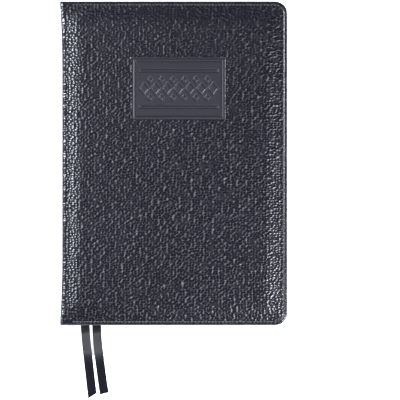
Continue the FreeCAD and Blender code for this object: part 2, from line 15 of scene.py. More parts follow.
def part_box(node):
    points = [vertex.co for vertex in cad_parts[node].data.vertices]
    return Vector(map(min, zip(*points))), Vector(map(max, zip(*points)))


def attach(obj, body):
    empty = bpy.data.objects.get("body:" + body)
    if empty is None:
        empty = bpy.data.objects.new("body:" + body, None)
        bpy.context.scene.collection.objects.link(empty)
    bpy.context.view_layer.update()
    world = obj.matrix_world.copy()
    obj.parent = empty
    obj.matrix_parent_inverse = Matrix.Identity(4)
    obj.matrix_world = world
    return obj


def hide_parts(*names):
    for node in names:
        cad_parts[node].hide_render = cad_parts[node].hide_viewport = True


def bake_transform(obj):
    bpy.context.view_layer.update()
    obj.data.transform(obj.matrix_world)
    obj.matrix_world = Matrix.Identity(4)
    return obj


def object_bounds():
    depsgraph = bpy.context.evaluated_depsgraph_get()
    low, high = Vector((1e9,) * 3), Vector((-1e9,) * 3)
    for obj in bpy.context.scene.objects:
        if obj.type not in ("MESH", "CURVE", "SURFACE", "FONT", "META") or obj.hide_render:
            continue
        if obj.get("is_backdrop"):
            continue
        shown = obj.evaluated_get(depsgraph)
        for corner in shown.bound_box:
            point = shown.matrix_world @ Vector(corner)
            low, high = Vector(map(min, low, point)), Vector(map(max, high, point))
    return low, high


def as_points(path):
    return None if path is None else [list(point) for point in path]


MM = 0.001

# ---------------------------------------------------------------- sizes, in millimetres

EDGE_ROUND = 1.3  # radius of a cover's outer rim
PUFF = 1.4  # how far the padding stands above the sewn rim
PUFF_REACH = 12.5  # how far in from the stitches the padding is still rising
JOINT_PUFF = 1.0  # how much of the padding's height is lost at the joint
JOINT_REACH = 13.5  # how far in from the spine that loss reaches
SPINE_WAIST = 0.55  # how far the spine is drawn in between its flared ends
SPINE_FLARE = 1.0  # how far the spine's corners stand out again
FLARE_REACH = 45.0  # how far from each end the flare starts
WAIST_REACH = 12.0  # how far on to the cover the spine's waist is still felt
TURN_IN = 14.5  # how far the leather goes round on to a cover's inner face
COVER_CORNER = 8.0
SHOULDER = 3.0  # radius of the leather over the joint
SPINE_THICK = 1.5  # leather and card together
JOINT_THICK = 2.4  # leather and what lies behind it at the joint
TAUT_REACH = 14.0  # how far from the spine the leather is pulled too tight to be wavy
GRID_STEP = 2.5  # the longest step between two points of the case
SPINE_STEP = 1.6
FIELD_STEP = 0.32  # the step over the panel's tooling
SHOULDER_PARTS = 8
CORNER_PARTS = 10
STITCH_INSET = 2.4  # from the cover's rim
STITCH_START = 8.3  # from the spine's outer face
STITCH_PITCH = 2.3
STITCH_LENGTH = 1.85
STITCH_WIDTH = 0.58
STITCH_SLANT = 0.12  # how far each stitch turns from the line, in radians
GROOVE_DEPTH = 0.32
PANEL = {"width": 61.5, "height": 41.0, "from_spine": 78.0, "from_head": 58.0}
FIELD_DEPTH = 0.25
LOZENGE = {"width": 6.4, "height": 8.4, "pitch": 7.6, "count": 7}
SMALL_LOZENGE = {"width": 3.6, "height": 4.6, "offset": 5.9}
RULE = {"length": 52.0, "width": 1.6, "offset": 12.0}
ORNAMENT_HEIGHT = 0.14
TOOLING_DEPTH = 0.22
TOOLING_EDGES = (0.42, 0.12, -0.2, -0.6)  # where a tooled groove starts, has its floor, and has ended
PAGE_CORNER = 5.0
SHEETS = 8  # leaves that show in each section
CLOSE_FROM = 28.0  # where the leaves on both sides of the ribbons start to close up
CLOSE_OVER = 12.0
RIBBON_WIDTH = 6.0
RIBBON_THICK = 0.18
BAND_RADIUS = 0.86
BAND_INSET = 0.9  # from the band's outer faces to its middle
BAND_RIB = 0.9  # from one rib of the winding to the next

PEBBLES = 580.0  # pebbles to a metre
PEBBLE_SLOPE = 0.42  # how steeply a pebble falls, for one pebble's width from its middle
PEBBLE_SQUEEZE = (0.86, 1.12)  # how much closer together they lie across the cover, and along it

# The case's lines round a cover, by their inset from its rim, and under it by their inset and depth.
RIM_INSETS = (
    *(8.0, 7.0, 6.0, 5.0, 4.2, 3.6, 3.2, 2.95, 2.75, 2.57, 2.4),
    *(2.22, 2.05, 1.85, 1.6, 1.3, 1.0, 0.7, 0.45, 0.25, 0.1, 0.0),
)
RIM_UNDER = ((0.0, 2.75), (0.06, 3.1), (0.25, 3.5), (0.6, 3.8), (1.1, 3.9), (3.0, 3.9), (9.0, 3.9))
COVER_INSIDE = 3.9  # how deep under the outer face the turned-in leather lies

# The plate's outline: how far in from it a place is, and how high the leather is left there.
PANEL_STEPS = (
    (-4.0, 0.0),
    (-1.4, -0.03),
    (-0.7, 0.03),
    (-0.25, 0.05),
    (0.0, -0.05),
    (0.12, -0.25),
    (0.9, -0.27),
    (1.05, -0.16),
    (1.25, -0.08),
    (1.65, -0.08),
    (1.85, -0.2),
    (2.1, -0.45),
    (2.7, -0.45),
    (2.9, -0.27),
    (3.4, -0.25),
    (40.0, -0.25),
)

# Where a leaf has points across it: close together near the spine, and where the two halves close up.
LEAF_BENDS = (
    *(0.0, 0.6, 1.2, 2.0, 3.0, 4.0, 5.0, 6.0, 7.0, 8.0, 9.0, 10.0, 12.0, 15.0, 20.0),
    *(32.0, 37.0, 42.0, 47.0, 52.0, 57.0, 62.0, 100.0),
)

# The softboxes' places and sizes are in metres.
SOFTBOXES = {
    "left_softbox": {
        "place": (-0.58, 0.10, 0.58),
        "target": (-0.03, 0, 0.02),
        "width": 0.14,
        "height": 0.36,
        "power": 13.0,
        "colour": (0.86, 0.92, 1.0),
    },
    "right_softbox": {
        "place": (0.52, -0.36, 0.60),
        "target": (0.05, -0.06, 0.02),
        "width": 0.18,
        "height": 0.20,
        "power": 17.0,
        "colour": (0.92, 0.93, 1.0),
    },
    "key_softbox": {
        "place": (-0.12, 0.34, 0.95),
        "target": (0.0, 0.0, 0.02),
        "width": 0.08,
        "height": 0.08,
        "power": 0.36,
        "colour": (0.80, 0.85, 1.0),
    },
    "front_softbox": {
        "place": (-0.05, -0.75, 0.40),
        "target": (-0.05, -0.1, 0.01),
        "width": 0.5,
        "height": 0.25,
        "power": 2.2,
        "colour": (0.92, 0.94, 1.0),
    },
}

MOVING = [f"section_{i:02d}" for i in range(1, 7)]
FIXED = [f"section_{i:02d}" for i in range(7, 13)]

# The ribbons' routes: x from the spine's outer face, y, and height over the table; None is the level of the
# ribbon's own solid between the leaves.
RIBBONS = {
    "ribbon_left": {
        "layer": 0,
        "cut": -3.0,
        "length": 262.4,
        "route": [
            (5.3, 104.2, None),
            (8.6, 49.0, None),
            (11.2, -6.0, None),
            (13.9, -55.0, None),
            (15.2, -88.0, None),
            (15.6, -109.5, None),
            (16.1, -119.0, 6.4),
            (17.1, -130.0, 0.0),
            (18.6, -143.0, 0.0),
            (20.0, -155.5, 0.0),
        ],
    },
    "ribbon_right": {
        "layer": 1,
        "cut": -0.6,
        "length": 260.9,
        "route": [
            (5.3, 104.2, None),
            (11.4, 50.0, None),
            (17.0, -4.0, None),
            (21.0, -54.0, None),
            (22.8, -88.0, None),
            (23.2, -109.8, None),
            (23.6, -119.5, 6.0),
            (24.8, -131.0, 0.0),
            (26.4, -143.5, 0.0),
            (28.0, -154.0, 0.0),
        ],
    },
}

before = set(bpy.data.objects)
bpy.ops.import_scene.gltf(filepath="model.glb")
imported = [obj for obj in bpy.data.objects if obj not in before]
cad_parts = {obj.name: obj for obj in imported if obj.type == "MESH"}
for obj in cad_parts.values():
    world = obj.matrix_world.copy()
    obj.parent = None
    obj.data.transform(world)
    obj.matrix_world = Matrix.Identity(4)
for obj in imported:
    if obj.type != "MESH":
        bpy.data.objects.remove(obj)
CAD_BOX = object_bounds()


def box_mm(node):
    """A CAD node's two corners in millimetres."""
    low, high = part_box(node)
    return Vector(low) / MM, Vector(high) / MM


COVER_LOW, COVER_HIGH = box_mm("front_leather")
BACK_LOW, BACK_HIGH = box_mm("back_leather")
SPINE_X = COVER_LOW.x
COVER_WIDTH = COVER_HIGH.x - COVER_LOW.x
HALF_HEIGHT = COVER_HIGH.y
COVER_THICK = COVER_HIGH.z - COVER_LOW.z
TOTAL = COVER_HIGH.z
MIDDLE = TOTAL / 2
PAGE_X = box_mm("section_01")[0].x
PAGE_TOP = box_mm("front_flyleaf")[1].z
PAGE_LOW = box_mm("back_flyleaf")[0].z
SLOT = box_mm("section_06")[0].z - box_mm("section_07")[1].z


# ---------------------------------------------------------------- materials


def material(name):
    """A new material with its node tree and its Principled shader."""
    made = bpy.data.materials.new(name)
    made.use_nodes = True
    tree = made.node_tree
    shader = tree.nodes["Principled BSDF"]
    return made, tree, shader


def add(tree, kind, inputs=None, **settings):
    """A node with its settings, and its inputs by name: a socket is linked and anything else is a value."""
    node = tree.nodes.new(kind)
    for key, value in settings.items():
        setattr(node, key, value)
    for key, value in (inputs or {}).items():
        if isinstance(value, bpy.types.NodeSocket):
            tree.links.new(value, node.inputs[key])
        else:
            node.inputs[key].default_value = value
    return node


def rest_place(tree):
    """The point's place at rest, so that a grain stays on its piece in every pose."""
    return add(tree, "ShaderNodeAttribute", attribute_name="rest").outputs["Vector"]


def sums(tree, operation, first, second, clamp=False):
    """One step of arithmetic on two values."""
    inputs = {0: first, 1: second}
    return add(tree, "ShaderNodeMath", inputs, operation=operation, use_clamp=clamp).outputs[0]


def vectors(tree, operation, *inputs):
    """One step of arithmetic on vectors."""
    node = add(tree, "ShaderNodeVectorMath", dict(enumerate(inputs)), operation=operation)
    return node.outputs[0]


def yarns(tree, coordinate, count):
    """A wave along a coordinate, with its count to a metre."""
    return sums(tree, "SINE", sums(tree, "MULTIPLY", coordinate, count * math.tau), 0.0)


def spread(tree, value, low, high, to_low=0.0, to_high=1.0):
    """Maps a value smoothly from one range to another."""
    inputs = {
        "Value": value,
        "From Min": low,
        "From Max": high,
        "To Min": to_low,
        "To Max": to_high,
    }
    return add(tree, "ShaderNodeMapRange", inputs, interpolation_type="SMOOTHSTEP").outputs[0]


def noisy(tree, place, scale, detail=3.0, roughness=0.5):
    """Cloudy noise, from about 0 to 1."""
    inputs = {"Vector": place, "Scale": scale, "Detail": detail, "Roughness": roughness}
    return add(tree, "ShaderNodeTexNoise", inputs).outputs["Fac"]


def mixed(tree, factor, first, second):
    """A colour between two colours."""
    node = add(tree, "ShaderNodeMix", {"Factor": factor}, data_type="RGBA")
    for socket, value in ((node.inputs[6], first), (node.inputs[7], second)):
        if isinstance(value, bpy.types.NodeSocket):
            tree.links.new(value, socket)
        else:
            socket.default_value = (*value, 1.0)
    return node.outputs[2]


def link(tree, socket, shader, name):
    """Links a socket to one of the shader's inputs."""
    tree.links.new(socket, shader.inputs[name])


def bump(tree, shader, height, distance):
    """Fine relief on the shader, as high as the distance, in metres."""
    node = add(tree, "ShaderNodeBump", {"Height": height, "Distance": distance})
    link(tree, node.outputs["Normal"], shader, "Normal")


def pebbled_leather():
    """Black leather with domed pebbles about 1.7 mm across, the creases between them and a fine grain.

    A pebble is a shallow dome, so the surface leans more the further it is from the pebble's middle. The
    base colour is darker in the creases: painted shade."""
    made, tree, shader = material("pebbled_leather")
    flat = add(tree, "ShaderNodeUVMap", uv_map="grain").outputs["UV"]
    drift = add(tree, "ShaderNodeTexNoise", {"Vector": flat, "Scale": 120.0, "Detail": 2.0})
    shift = vectors(tree, "MULTIPLY", drift.outputs["Color"], (0.0013, 0.0013, 0.0))
    warped = vectors(tree, "ADD", flat, shift)
    closeness = [PEBBLES * squeeze for squeeze in PEBBLE_SQUEEZE]
    place = vectors(tree, "MULTIPLY", warped, (*closeness, 1.0))
    cells = add(
        tree,
        "ShaderNodeTexVoronoi",
        {"Vector": place, "Scale": 1.0, "Randomness": 0.7},
        feature="F1",
        voronoi_dimensions="2D",
    )
    lean = vectors(tree, "SUBTRACT", place, cells.outputs["Position"])
    parts = add(tree, "ShaderNodeSeparateXYZ", {"Vector": lean})
    inset = add(tree, "ShaderNodeAttribute", attribute_name="inset").outputs["Fac"]
    slope = spread(tree, inset, 0.0022, 0.0040, 0.3 * PEBBLE_SLOPE, PEBBLE_SLOPE)
    across = sums(tree, "MULTIPLY", parts.outputs[0], slope)
    along = sums(tree, "MULTIPLY", parts.outputs[1], slope)
    tilt = add(tree, "ShaderNodeCombineXYZ", {"X": across, "Y": along, "Z": 1.0}).outputs[0]
    half = (0.5, 0.5, 0.5)
    halved = vectors(tree, "MULTIPLY_ADD", vectors(tree, "NORMALIZE", tilt), half, half)
    domes = add(tree, "ShaderNodeNormalMap", {"Color": halved}, space="TANGENT", uv_map="grain")
    rest = rest_place(tree)
    fine = sums(tree, "ADD", noisy(tree, rest, 5200.0, 2.0), noisy(tree, rest, 1500.0, 2.0))
    relief = {"Height": fine, "Distance": 0.000005, "Normal": domes.outputs["Normal"]}
    link(tree, add(tree, "ShaderNodeBump", relief).outputs["Normal"], shader, "Normal")
    crease = spread(tree, cells.outputs["Distance"], 0.38, 0.72)
    wide = noisy(tree, rest, 28.0, 4.0)
    # Painted shade: the crease mask darkens the base colour between the pebbles (it also makes the creases
    # rougher).
    tone = sums(tree, "SUBTRACT", spread(tree, wide, 0.3, 0.7, 0.75, 1.0), crease, clamp=True)
    black = mixed(tree, tone, (0.0012, 0.0012, 0.0022), (0.0035, 0.0036, 0.0065))
    link(tree, black, shader, "Base Color")
    worn = spread(tree, noisy(tree, rest, 240.0, 3.0), 0.3, 0.7, 0.23, 0.28)
    rough = sums(tree, "ADD", worn, sums(tree, "MULTIPLY", crease, 0.14))
    link(tree, rough, shader, "Roughness")
    return made


def pressed_leather():
    """Leather that a hot plate has pressed smooth, with painted shade: its colour is darker where its lines
    went deepest.
    """
    made, tree, shader = material("pressed_leather")
    place = rest_place(tree)
    fine = noisy(tree, place, 3600.0, 3.0)
    faint = noisy(tree, place, 500.0, 2.0)
    height = sums(tree, "ADD", sums(tree, "MULTIPLY", fine, 0.25), sums(tree, "MULTIPLY", faint, 0.6))
    bump(tree, shader, height, 0.000012)
    # Painted shade: the base colour darkens where the tooled lines sink lowest.
    level = add(tree, "ShaderNodeSeparateXYZ", {"Vector": place}).outputs[2]
    field = (COVER_HIGH.z - FIELD_DEPTH) * MM
    raised = spread(tree, level, field - 0.00016, field - 0.00003)
    plain = mixed(tree, faint, (0.006, 0.006, 0.009), (0.009, 0.009, 0.014))
    link(tree, mixed(tree, raised, (0.004, 0.004, 0.006), plain), shader, "Base Color")
    link(tree, spread(tree, fine, 0.3, 0.7, 0.42, 0.52), shader, "Roughness")
    shader.inputs["Specular IOR Level"].default_value = 0.38
    return made


def woven(name, dark, light, count, rough=0.7, sheen=0.3, depth=0.00005):
    """Woven cloth or thread: two crossing sets of yarns, with their count to a metre."""
    made, tree, shader = material(name)
    place = rest_place(tree)
    split = add(tree, "ShaderNodeSeparateXYZ", {"Vector": place})
    first = yarns(tree, split.outputs[0], count)
    second = yarns(tree, split.outputs[1], count)
    weave = spread(tree, sums(tree, "MULTIPLY", first, second), -1.0, 1.0)
    fluff = noisy(tree, place, 900.0, 3.0)
    bump(tree, shader, sums(tree, "ADD", weave, sums(tree, "MULTIPLY", fluff, 0.5)), depth)
    link(tree, mixed(tree, sums(tree, "MULTIPLY", weave, fluff), dark, light), shader, "Base Color")
    shader.inputs["Roughness"].default_value = rough
    shader.inputs["Sheen Weight"].default_value = sheen
    return made


def satin():
    """Black satin ribbon: its yarns float along it, so it shines across its width."""
    made, tree, shader = material("black_satin")
    place = rest_place(tree)
    split = add(tree, "ShaderNodeSeparateXYZ", {"Vector": place})
    floats = sums(tree, "MULTIPLY", yarns(tree, split.outputs[0], 5200.0), 0.25)
    picks = sums(tree, "MULTIPLY", yarns(tree, split.outputs[1], 2600.0), 0.3)
    slubs = noisy(tree, place, 700.0, 3.0)
    bump(tree, shader, sums(tree, "ADD", floats, sums(tree, "ADD", picks, slubs)), 0.000006)
    black = mixed(tree, slubs, (0.0030, 0.0030, 0.0045), (0.0065, 0.0065, 0.0100))
    link(tree, black, shader, "Base Color")
    shader.inputs["Roughness"].default_value = 0.30
    shader.inputs["Specular IOR Level"].default_value = 0.3
    shader.inputs["Anisotropic"].default_value = 0.6
    return made


def paper(name, dark, light, rough=0.8):
    """Paper with faint fibres and a cloudy formation."""
    made, tree, shader = material(name)
    place = rest_place(tree)
    fibres = noisy(tree, place, 1400.0, 5.0, 0.7)
    cloud = noisy(tree, place, 90.0, 3.0)
    bump(tree, shader, fibres, 0.00002)
    tone = sums(tree, "MULTIPLY", fibres, sums(tree, "MULTIPLY", cloud, 2.0))
    link(tree, mixed(tree, tone, dark, light), shader, "Base Color")
    shader.inputs["Roughness"].default_value = rough
    return made


def black_edge():
    """The blackened edge of the leaves: dully polished, and each leaf took the ink a little differently."""
    made, tree, shader = material("blackened_edge")
    place = rest_place(tree)
    lines = noisy(tree, vectors(tree, "MULTIPLY", place, (1.0, 1.0, 60.0)), 90.0, 4.0, 0.6)
    patches = spread(tree, noisy(tree, place, 40.0, 4.0), 0.3, 0.7, 0.55, 1.0)
    tone = sums(tree, "MULTIPLY", spread(tree, lines, 0.3, 0.7), patches)
    bump(tree, shader, lines, 0.00005)
    link(tree, mixed(tree, tone, (0.020, 0.018, 0.020), (0.066, 0.058, 0.060)), shader, "Base Color")
    link(tree, spread(tree, lines, 0.3, 0.7, 0.42, 0.6), shader, "Roughness")
    return made


def plain_floor():
    """A pale floor, bright of its own so that only the faintest contact shadow shows on it."""
    made, tree, shader = material("pale_floor")
    place = add(tree, "ShaderNodeTexCoord").outputs["Object"]
    cloud = noisy(tree, place, 3.0, 2.0)
    link(tree, mixed(tree, cloud, (0.90, 0.90, 0.90), (0.94, 0.94, 0.94)), shader, "Base Color")
    shader.inputs["Roughness"].default_value = 0.9
    shader.inputs["Emission Color"].default_value = (1, 1, 1, 1)
    shader.inputs["Emission Strength"].default_value = 0.75
    return made


LEATHER = pebbled_leather()
PRESSED = pressed_leather()
THREAD = woven(
    "black_thread", (0.015, 0.015, 0.018), (0.045, 0.045, 0.053), 2600.0, rough=0.5, sheen=0.5, depth=0.00008
)
BAND = woven("band_cloth", (0.010, 0.010, 0.012), (0.045, 0.045, 0.05), 1500.0, rough=0.75)
SATIN = satin()
PAGE = paper("page_paper", (0.41, 0.39, 0.34), (0.50, 0.48, 0.42))
ENDPAPER = paper("black_endpaper", (0.012, 0.012, 0.014), (0.024, 0.024, 0.027), 0.65)
EDGE = black_edge()
GREYBOARD = paper("greyboard", (0.22, 0.21, 0.19), (0.40, 0.39, 0.36), 0.9)
MULL = woven("mull_cloth", (0.55, 0.52, 0.45), (0.80, 0.78, 0.71), 900.0)
TAPE = woven("linen_tape", (0.6, 0.57, 0.5), (0.85, 0.83, 0.77), 1800.0)


# ---------------------------------------------------------------- mesh helpers


def piece(name, points, faces, *materials, smooth_angle=None):
    """A mesh piece from points in millimetres, smooth up to an angle if one is given."""
    mesh = bpy.data.meshes.new(name)
    mesh.from_pydata([tuple(c * MM for c in p) for p in points], [], faces)
    mesh.update()
    made = bpy.data.objects.new(name, mesh)
    bpy.context.scene.collection.objects.link(made)
    for one in materials:
        mesh.materials.append(one)
    if smooth_angle is not None:
        mesh.shade_smooth()
        mesh.set_sharp_from_angle(angle=math.radians(smooth_angle))
    return made


def weld(made):
    """Joins the points that lie on each other and turns the faces one way."""
    work = bmesh.new()
    work.from_mesh(made.data)
    bmesh.ops.remove_doubles(work, verts=work.verts, dist=1e-7)
    bmesh.ops.dissolve_degenerate(work, edges=work.edges, dist=1e-7)
    bmesh.ops.recalc_face_normals(work, faces=work.faces)
    work.to_mesh(made.data)
    work.free()


def mark_rest(made):
    """Stores each point's rest place for the materials."""
    points = made.data.vertices
    attribute = made.data.attributes.new("rest", "FLOAT_VECTOR", "POINT")
    attribute.data.foreach_set("vector", [c for v in points for c in v.co])


def lay_grain(made):
    """Flat coordinates for the leather's grain, in metres: each face is seen along its nearest axis."""
    mesh = made.data
    layer = mesh.uv_layers.new(name="grain")
    for face in mesh.polygons:
        away = [abs(c) for c in face.normal]
        first, second = ((0, 1), (2, 1), (0, 2))[(away[2], away[0], away[1]).index(max(away))]
        for corner in face.loop_indices:
            place = mesh.vertices[mesh.loops[corner].vertex_index].co
            layer.data[corner].uv = (place[first] + 1, place[second] + 1)
    insets = mesh.attributes.new("inset", "FLOAT", "POINT")
    for vertex in mesh.vertices:
        insets.data[vertex.index].value = min(rim_inset(vertex.co), panel_inset(vertex.co)) * MM


def panel_inset(place):
    """How far outside the pressed panel a point is, as an inset: its pebbles are flat beside it too."""
    cx, cy = panel_centre()
    past_x = abs(place.x / MM - (SPINE_X + cx)) - PANEL["width"] / 2
    past_y = abs(place.y / MM - cy) - PANEL["height"] / 2
    return STITCH_INSET + 2 * max(past_x, past_y)


def rim_inset(place):
    """How far inside the cover's rounded outline a point is, in millimetres."""
    past_x = place.x / MM - (SPINE_X + COVER_WIDTH - COVER_CORNER)
    past_y = abs(place.y) / MM - (HALF_HEIGHT - COVER_CORNER)
    if past_x > 0 and past_y > 0:
        return COVER_CORNER - math.hypot(past_x, past_y)
    return COVER_CORNER - max(past_x, past_y)


def strip_faces(rows, columns, start=0):
    """The quads of a grid whose points run row by row."""
    quads = []
    for r in range(rows - 1):
        for c in range(columns - 1):
            a = start + r * columns + c
            quads.append((a, a + 1, a + columns + 1, a + columns))
    return quads


def grid_lines(low, high, step, breaks):
    """Numbers from low to high, through each break, at most a step apart."""
    stops = sorted({low, high, *(b for b in breaks if low < b < high)})
    lines = []
    for a, b in zip(stops, stops[1:]):
        count = max(1, math.ceil((b - a) / step - 1e-6))
        lines += [a + (b - a) * i / count for i in range(count)]
    return lines + [high]


def slab_faces(start, count):
    """The faces round a thin slab with its lower points first, two to a column, and open at both ends."""
    faces = []
    for i in range(count - 1):
        a, b = start + 2 * i, start + 2 * (count + i)
        faces += [(a, a + 1, a + 3, a + 2), (b, b + 2, b + 3, b + 1)]
        faces += [(a, a + 2, b + 2, b), (a + 1, b + 1, b + 3, a + 3)]
    return faces


def slab_end(start, count):
    """The face at a slab's last column."""
    a, b = start + 2 * (count - 1), start + 2 * (2 * count - 1)
    return (a, a + 1, b + 1, b)


def scaled(*points):
    """Points in metres, from millimetres."""
    return [tuple(c * MM for c in p) for p in points]


# ---------------------------------------------------------------- the leather case


def turned(point, back):
    """A point of the front half of the book, or its twin on the back half."""
    x, y, z = point
    return (x, y, TOTAL - z) if back else (x, y, z)


def panel_centre():
    """The panel's middle, from the spine's outer face and from the middle of the cover's height."""
    return PANEL["from_spine"], HALF_HEIGHT - PANEL["from_head"]


def panel_drop(x, y):
    """How far the plate pressed the leather down at a place, from the steps of its outline."""
    cx, cy = panel_centre()
    inset = min(PANEL["width"] / 2 - abs(x - cx), PANEL["height"] / 2 - abs(y - cy))
    if inset <= PANEL_STEPS[0][0]:
        return 0.0
    if inset > PANEL_STEPS[-2][0]:
        return PANEL_STEPS[-1][1] + ornament_relief(x - cx, y - cy)
    for (a, low), (b, high) in zip(PANEL_STEPS, PANEL_STEPS[1:]):
        if inset <= b:
            return low + (high - low) * (inset - a) / (b - a)
    return PANEL_STEPS[-1][1]


def tooled(distance, face):
    """The relief near a tooled outline: a sharp groove on the line, and the face inside it."""
    start, floor_from, floor_to, end = TOOLING_EDGES
    if distance > start:
        return 0.0
    if distance > floor_from:
        return -TOOLING_DEPTH * (start - distance) / (start - floor_from)
    if distance > floor_to:
        return -TOOLING_DEPTH
    if distance > end:
        return -TOOLING_DEPTH + (TOOLING_DEPTH + face) * (floor_to - distance) / (floor_to - end)
    return face


def lozenge_distance(x, y, width, height):
    """How far a place lies outside a lozenge about the origin."""
    a, b = width / 2, height / 2
    return (abs(x) / a + abs(y) / b - 1) * a * b / math.hypot(a, b)


def ornament_relief(x, y):
    """The relief of the lozenges and rules, at a place from the panel's centre."""
    pitch, count = LOZENGE["pitch"], LOZENGE["count"]
    reach = (count - 1) / 2
    nearest = max(-reach, min(reach, round(x / pitch + reach) - reach))
    large = lozenge_distance(x - nearest * pitch, y, LOZENGE["width"], LOZENGE["height"])
    relief = tooled(large, ORNAMENT_HEIGHT)
    between = max(-reach + 0.5, min(reach - 0.5, math.floor(x / pitch + reach) - reach + 0.5))
    up = abs(y) - SMALL_LOZENGE["offset"]
    small = lozenge_distance(x - between * pitch, up, SMALL_LOZENGE["width"], SMALL_LOZENGE["height"])
    if small < TOOLING_EDGES[0]:
        relief = min(relief, 0.0) + tooled(small, 0.0)
    beyond_x = abs(x) - RULE["length"] / 2
    beyond_y = abs(abs(y) - RULE["offset"]) - RULE["width"] / 2
    rule = tooled(max(beyond_x, beyond_y), ORNAMENT_HEIGHT)
    return relief if rule == 0.0 else rule


def unevenness(x, y, back):
    """The soft leather's own waviness, always inwards."""
    seed = 7.0 if back else 0.0
    wide = noise.noise(Vector((x / 26, y / 26, seed)))
    fine = noise.noise(Vector((x / 9, y / 9, seed + 3)))
    return -0.10 * (0.5 + 0.5 * wide) - 0.03 * (0.5 + 0.5 * fine)


def rise(inset, reach):
    """1 at the start of the padding's slope, and 0 where it is full."""
    short = min(max(1 - inset / reach, 0.0), 1.0)
    return short * short * (3 - 2 * short)


def puff_drop(x, y):
    """How far the padding is short of its full height near the sewn rim and the joint."""
    at_fore = rise(COVER_WIDTH - x - STITCH_INSET, PUFF_REACH)
    at_end = rise(HALF_HEIGHT - abs(y) - STITCH_INSET, PUFF_REACH)
    at_joint = JOINT_PUFF * rise(x, JOINT_REACH)
    return PUFF * (1 - (1 - at_fore) * (1 - at_end) * (1 - at_joint))


def rim_drop(inset, stitched):
    """How far the outer face falls at its outer rim, with the dip that the stitches pull."""
    drop = 0.0
    if inset < EDGE_ROUND:
        drop = EDGE_ROUND - math.sqrt(max(EDGE_ROUND**2 - (EDGE_ROUND - inset) ** 2, 0.0))
    dip = GROOVE_DEPTH * math.exp(-(((inset - STITCH_INSET) / 0.36) ** 2))
    return drop + stitched * dip


def case_columns(spine_from, panel):
    """The outer face's cross-section from the middle of the spine to the fore-edge rim.

    Each column is its place, the outward direction, the thickness behind it and how far it is stitched."""
    columns = []
    top = COVER_LOW.z
    shoulder_from = COVER_HIGH.z - SHOULDER
    for z in grid_lines(spine_from, shoulder_from, SPINE_STEP, [top - 0.6, top]):
        thick = SPINE_THICK if z < top - 0.3 else JOINT_THICK
        columns.append((0.0, z, -1.0, 0.0, thick, 0.0))
    for k in range(1, SHOULDER_PARTS + 1):
        turn = math.pi / 2 * k / SHOULDER_PARTS
        out, up = -math.cos(turn), math.sin(turn)
        thick = JOINT_THICK + (COVER_THICK - JOINT_THICK) * k / SHOULDER_PARTS
        columns.append((SHOULDER * (1 + out), shoulder_from + SHOULDER * up, out, up, thick, 0.0))
    cx, _ = panel_centre()
    breaks = [STITCH_START - 1.5, STITCH_START]
    if panel:
        breaks += panel_lines(cx, PANEL["width"] / 2)
    for x in grid_lines(SHOULDER, COVER_WIDTH - COVER_CORNER, GRID_STEP, breaks)[1:]:
        stitched = min(max((x - STITCH_START + 1.5) / 1.5, 0.0), 1.0)
        columns.append((x, COVER_HIGH.z, 0.0, 1.0, COVER_THICK, stitched))
    return columns


def panel_lines(centre, half):
    """Grid lines on each step of the plate's outline, and across its field close enough for the tooling."""
    steps = [centre + side * (half - inset) for side in (-1, 1) for inset, _ in PANEL_STEPS[:-1]]
    inside = half - PANEL_STEPS[-2][0]
    return steps + grid_lines(centre - inside, centre + inside, FIELD_STEP, [])


def case_rows(panel):
    """The outer face's rows from tail to head, between the rounded corners."""
    _, cy = panel_centre()
    breaks = panel_lines(cy, PANEL["height"] / 2) if panel else []
    reach = HALF_HEIGHT - COVER_CORNER
    return grid_lines(-reach, reach, GRID_STEP, breaks)


def case_point(column, y, inset, under, back):
    """A point on a column's outer face at an inset from its rim, or under the rim."""
    x, z, out, up, thick, stitched = column
    if under is None:
        depth = rim_drop(inset, stitched) + up * puff_drop(x, y)
        if inset >= COVER_CORNER and up == 1.0:
            depth -= unevenness(x, y, back) * (1 - rise(x, TAUT_REACH))
            if not back:
                depth -= panel_drop(x, y)
    else:
        depth = under
    depth *= thick / COVER_THICK
    near_end = max(1 - (HALF_HEIGHT - abs(y)) / FLARE_REACH, 0.0) ** 2
    waist = (SPINE_WAIST - (SPINE_WAIST + SPINE_FLARE) * near_end) * rise(x - SHOULDER, WAIST_REACH)
    return turned((SPINE_X + x + waist - out * depth, y, z - up * depth), back)


def ring(columns, rows, inset, under, back):
    """One line round the tail, fore-edge and head, at an inset from the rim."""
    limit_x = COVER_WIDTH - inset
    limit_y = HALF_HEIGHT - inset
    centre_x, centre_y = COVER_WIDTH - COVER_CORNER, HALF_HEIGHT - COVER_CORNER
    radius = max(COVER_CORNER - inset, 0.0)

    def at_fore(x, y):
        column = (min(x, limit_x), COVER_HIGH.z, 0.0, 1.0, COVER_THICK, 1.0)
        return case_point(column, max(-limit_y, min(limit_y, y)), inset, under, back)

    def at_end(column, side):
        place = (min(column[0], limit_x),) + column[1:]
        return case_point(place, side * limit_y, inset, under, back)

    def at_corner(side, turn_from):
        for k in range(1, CORNER_PARTS):
            turn = turn_from + math.pi / 2 * k / CORNER_PARTS
            yield at_fore(centre_x + radius * math.cos(turn), side * centre_y + radius * math.sin(turn))

    points = [at_end(column, -1) for column in columns]
    points += at_corner(-1, -math.pi / 2)
    points += [at_fore(limit_x, y) for y in rows]
    points += at_corner(1, 0.0)
    points += [at_end(column, 1) for column in reversed(columns)]
    return points


